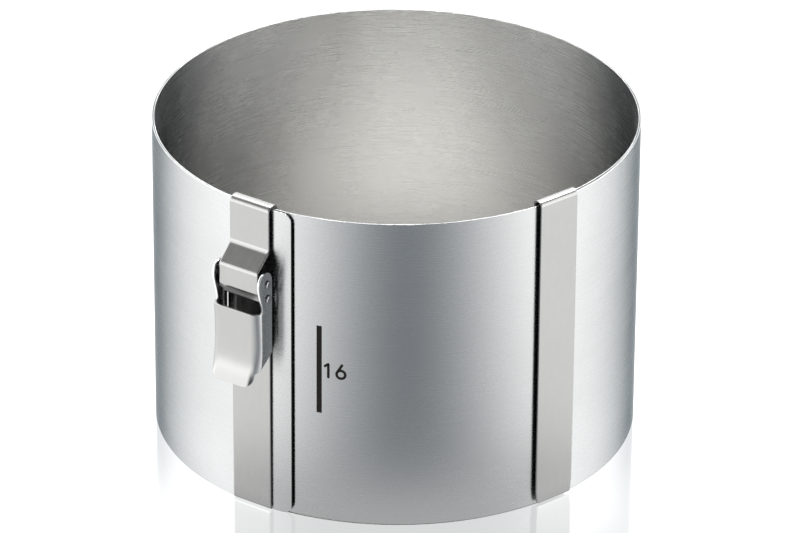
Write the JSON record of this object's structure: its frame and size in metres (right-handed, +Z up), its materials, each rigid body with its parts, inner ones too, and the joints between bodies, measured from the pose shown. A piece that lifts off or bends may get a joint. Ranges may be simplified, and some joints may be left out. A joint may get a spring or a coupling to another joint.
{
  "type": "adjustable cake ring",
  "caption": "Adjustable bottomless cake ring: a wound steel strip that slides open to a larger diameter, with a guide clip and a lever latch that clamps its size.",
  "frame": {"origin": "on the ground under the middle of the footprint, 0.3 mm from the axis of the ring", "axes": "+Z up along the axis of the ring, -Y towards the front where the single turn of the strip shows between the latch (front left) and the guide clip (front right), +X to the right"},
  "size_m": [0.161, 0.1606, 0.1117],
  "materials": {
    "strip_steel": "finely brushed along the strip",
    "clip_steel": "polished sheet",
    "pin_steel": "bright drawn wire"
  },
  "bodies": {
    "outer_end": {"strip_section_01": "strip_steel", "latch_base": "clip_steel", "pivot_pin": "pin_steel"},
    "strip_section_02": {"strip_section_02": "strip_steel"},
    "strip_section_03": {"strip_section_03": "strip_steel"},
    "strip_section_04": {"strip_section_04": "strip_steel"},
    "strip_section_05": {"strip_section_05": "strip_steel"},
    "strip_section_06": {"strip_section_06": "strip_steel"},
    "strip_section_07": {"strip_section_07": "strip_steel"},
    "strip_section_08": {"strip_section_08": "strip_steel"},
    "strip_section_09": {"strip_section_09": "strip_steel"},
    "strip_section_10": {"strip_section_10": "strip_steel"},
    "strip_section_11": {"strip_section_11": "strip_steel"},
    "strip_section_12": {"strip_section_12": "strip_steel"},
    "strip_section_13": {"strip_section_13": "strip_steel"},
    "strip_section_14": {"strip_section_14": "strip_steel"},
    "front_section": {"strip_section_15": "strip_steel"},
    "strip_section_16": {"strip_section_16": "strip_steel"},
    "strip_section_17": {"strip_section_17": "strip_steel"},
    "strip_section_18": {"strip_section_18": "strip_steel"},
    "strip_section_19": {"strip_section_19": "strip_steel"},
    "strip_section_20": {"strip_section_20": "strip_steel"},
    "strip_section_21": {"strip_section_21": "strip_steel"},
    "strip_section_22": {"strip_section_22": "strip_steel"},
    "strip_section_23": {"strip_section_23": "strip_steel"},
    "strip_section_24": {"strip_section_24": "strip_steel"},
    "strip_section_25": {"strip_section_25": "strip_steel"},
    "strip_section_26": {"strip_section_26": "strip_steel"},
    "strip_section_27": {"strip_section_27": "strip_steel"},
    "inner_end": {"strip_section_28": "strip_steel", "guide_clip": "clip_steel"},
    "lever": {"lever": "clip_steel", "link_pin": "pin_steel"},
    "link": {"latch_link": "clip_steel"}
  },
  "joints": [
    {"name": "ring_opening", "type": "hinge", "parent": "front_section", "child": "strip_section_16", "pos_m": [-0.02479, -0.07579, 0], "axis": [0, 0, 1], "range_deg": [0, 9.72]},
    {"name": "strip_bend_16", "type": "hinge", "parent": "strip_section_16", "child": "strip_section_17", "pos_m": [-0.05308, -0.05936, 0], "axis": [0, 0, 1], "range_deg": [0, 9.78]},
    {"name": "strip_bend_17", "type": "hinge", "parent": "strip_section_17", "child": "strip_section_18", "pos_m": [-0.0724, -0.03301, 0], "axis": [0, 0, 1], "range_deg": [0, 9.78]},
    {"name": "strip_bend_18", "type": "hinge", "parent": "strip_section_18", "child": "strip_section_19", "pos_m": [-0.07955, -0.00114, 0], "axis": [0, 0, 1], "range_deg": [0, 9.79]},
    {"name": "strip_bend_19", "type": "hinge", "parent": "strip_section_19", "child": "strip_section_20", "pos_m": [-0.07335, 0.03089, 0], "axis": [0, 0, 1], "range_deg": [0, 9.8]},
    {"name": "strip_bend_20", "type": "hinge", "parent": "strip_section_20", "child": "strip_section_21", "pos_m": [-0.05487, 0.05774, 0], "axis": [0, 0, 1], "range_deg": [0, 9.8]},
    {"name": "strip_bend_21", "type": "hinge", "parent": "strip_section_21", "child": "strip_section_22", "pos_m": [-0.0272, 0.07494, 0], "axis": [0, 0, 1], "range_deg": [0, 9.81]},
    {"name": "strip_bend_22", "type": "hinge", "parent": "strip_section_22", "child": "strip_section_23", "pos_m": [0.00501, 0.07961, 0], "axis": [0, 0, 1], "range_deg": [0, 9.82]},
    {"name": "strip_bend_23", "type": "hinge", "parent": "strip_section_23", "child": "strip_section_24", "pos_m": [0.03637, 0.07102, 0], "axis": [0, 0, 1], "range_deg": [0, 9.83]},
    {"name": "strip_bend_24", "type": "hinge", "parent": "strip_section_24", "child": "strip_section_25", "pos_m": [0.06165, 0.0506, 0], "axis": [0, 0, 1], "range_deg": [0, 9.84]},
    {"name": "strip_bend_25", "type": "hinge", "parent": "strip_section_25", "child": "strip_section_26", "pos_m": [0.07663, 0.02179, 0], "axis": [0, 0, 1], "range_deg": [0, 9.84]},
    {"name": "strip_bend_26", "type": "hinge", "parent": "strip_section_26", "child": "strip_section_27", "pos_m": [0.07882, -0.01057, 0], "axis": [0, 0, 1], "range_deg": [0, 9.85]},
    {"name": "strip_bend_27", "type": "hinge", "parent": "strip_section_27", "child": "inner_end", "pos_m": [0.06788, -0.04109, 0], "axis": [0, 0, 1], "range_deg": [0, 9.86]},
    {"name": "strip_bend_14", "type": "hinge", "parent": "front_section", "child": "strip_section_14", "pos_m": [0.00773, -0.07953, 0], "axis": [0, 0, -1], "range_deg": [0, 9.76]},
    {"name": "strip_bend_13", "type": "hinge", "parent": "strip_section_14", "child": "strip_section_13", "pos_m": [0.03905, -0.06994, 0], "axis": [0, 0, -1], "range_deg": [0, 9.75]},
    {"name": "strip_bend_12", "type": "hinge", "parent": "strip_section_13", "child": "strip_section_12", "pos_m": [0.06393, -0.04858, 0], "axis": [0, 0, -1], "range_deg": [0, 9.75]},
    {"name": "strip_bend_11", "type": "hinge", "parent": "strip_section_12", "child": "strip_section_11", "pos_m": [0.0782, -0.01903, 0], "axis": [0, 0, -1], "range_deg": [0, 9.74]},
    {"name": "strip_bend_10", "type": "hinge", "parent": "strip_section_11", "child": "strip_section_10", "pos_m": [0.07945, 0.01379, 0], "axis": [0, 0, -1], "range_deg": [0, 9.73]},
    {"name": "strip_bend_09", "type": "hinge", "parent": "strip_section_10", "child": "strip_section_09", "pos_m": [0.06744, 0.04438, 0], "axis": [0, 0, -1], "range_deg": [0, 9.72]},
    {"name": "strip_bend_08", "type": "hinge", "parent": "strip_section_09", "child": "strip_section_08", "pos_m": [0.04417, 0.06764, 0], "axis": [0, 0, -1], "range_deg": [0, 9.72]},
    {"name": "strip_bend_07", "type": "hinge", "parent": "strip_section_08", "child": "strip_section_07", "pos_m": [0.01352, 0.07964, 0], "axis": [0, 0, -1], "range_deg": [0, 9.71]},
    {"name": "strip_bend_06", "type": "hinge", "parent": "strip_section_07", "child": "strip_section_06", "pos_m": [-0.01941, 0.07837, 0], "axis": [0, 0, -1], "range_deg": [0, 9.7]},
    {"name": "strip_bend_05", "type": "hinge", "parent": "strip_section_06", "child": "strip_section_05", "pos_m": [-0.04909, 0.06401, 0], "axis": [0, 0, -1], "range_deg": [0, 9.69]},
    {"name": "strip_bend_04", "type": "hinge", "parent": "strip_section_05", "child": "strip_section_04", "pos_m": [-0.07057, 0.03895, 0], "axis": [0, 0, -1], "range_deg": [0, 9.69]},
    {"name": "strip_bend_03", "type": "hinge", "parent": "strip_section_04", "child": "strip_section_03", "pos_m": [-0.08023, 0.00737, 0], "axis": [0, 0, -1], "range_deg": [0, 9.68]},
    {"name": "strip_bend_02", "type": "hinge", "parent": "strip_section_03", "child": "strip_section_02", "pos_m": [-0.07643, -0.02547, 0], "axis": [0, 0, -1], "range_deg": [0, 9.67]},
    {"name": "strip_bend_01", "type": "hinge", "parent": "strip_section_02", "child": "outer_end", "pos_m": [-0.05979, -0.05407, 0], "axis": [0, 0, -1], "range_deg": [0, 9.66]},
    {"name": "lever_swing", "type": "hinge", "parent": "outer_end", "child": "lever", "pos_m": [-0.04847, -0.06965, 0.0856], "axis": [-0.8202, 0.5721, 0], "range_deg": [0, 70]},
    {"name": "link_swing", "type": "hinge", "parent": "lever", "child": "link", "pos_m": [-0.04836, -0.06949, 0.0803], "axis": [-0.8202, 0.5721, 0], "range_deg": [-59, 0]}
  ],
  "couplings": [
    {"joint": "strip_bend_16", "follows": "ring_opening", "ratio": 1.0008},
    {"joint": "strip_bend_17", "follows": "ring_opening", "ratio": 1.0015},
    {"joint": "strip_bend_18", "follows": "ring_opening", "ratio": 1.0023},
    {"joint": "strip_bend_19", "follows": "ring_opening", "ratio": 1.0031},
    {"joint": "strip_bend_20", "follows": "ring_opening", "ratio": 1.0038},
    {"joint": "strip_bend_21", "follows": "ring_opening", "ratio": 1.0046},
    {"joint": "strip_bend_22", "follows": "ring_opening", "ratio": 1.0054},
    {"joint": "strip_bend_23", "follows": "ring_opening", "ratio": 1.0062},
    {"joint": "strip_bend_24", "follows": "ring_opening", "ratio": 1.0069},
    {"joint": "strip_bend_25", "follows": "ring_opening", "ratio": 1.0077},
    {"joint": "strip_bend_26", "follows": "ring_opening", "ratio": 1.0085},
    {"joint": "strip_bend_27", "follows": "ring_opening", "ratio": 1.0092},
    {"joint": "strip_bend_14", "follows": "ring_opening", "ratio": 0.99923},
    {"joint": "strip_bend_13", "follows": "ring_opening", "ratio": 0.99847},
    {"joint": "strip_bend_12", "follows": "ring_opening", "ratio": 0.9977},
    {"joint": "strip_bend_11", "follows": "ring_opening", "ratio": 0.99694},
    {"joint": "strip_bend_10", "follows": "ring_opening", "ratio": 0.99617},
    {"joint": "strip_bend_09", "follows": "ring_opening", "ratio": 0.99541},
    {"joint": "strip_bend_08", "follows": "ring_opening", "ratio": 0.99465},
    {"joint": "strip_bend_07", "follows": "ring_opening", "ratio": 0.99388},
    {"joint": "strip_bend_06", "follows": "ring_opening", "ratio": 0.99312},
    {"joint": "strip_bend_05", "follows": "ring_opening", "ratio": 0.99236},
    {"joint": "strip_bend_04", "follows": "ring_opening", "ratio": 0.9916},
    {"joint": "strip_bend_03", "follows": "ring_opening", "ratio": 0.99084},
    {"joint": "strip_bend_02", "follows": "ring_opening", "ratio": 0.99008},
    {"joint": "strip_bend_01", "follows": "ring_opening", "ratio": 0.98933},
    {"joint": "link_swing", "follows": "lever_swing", "ratio": -0.84}
  ]
}
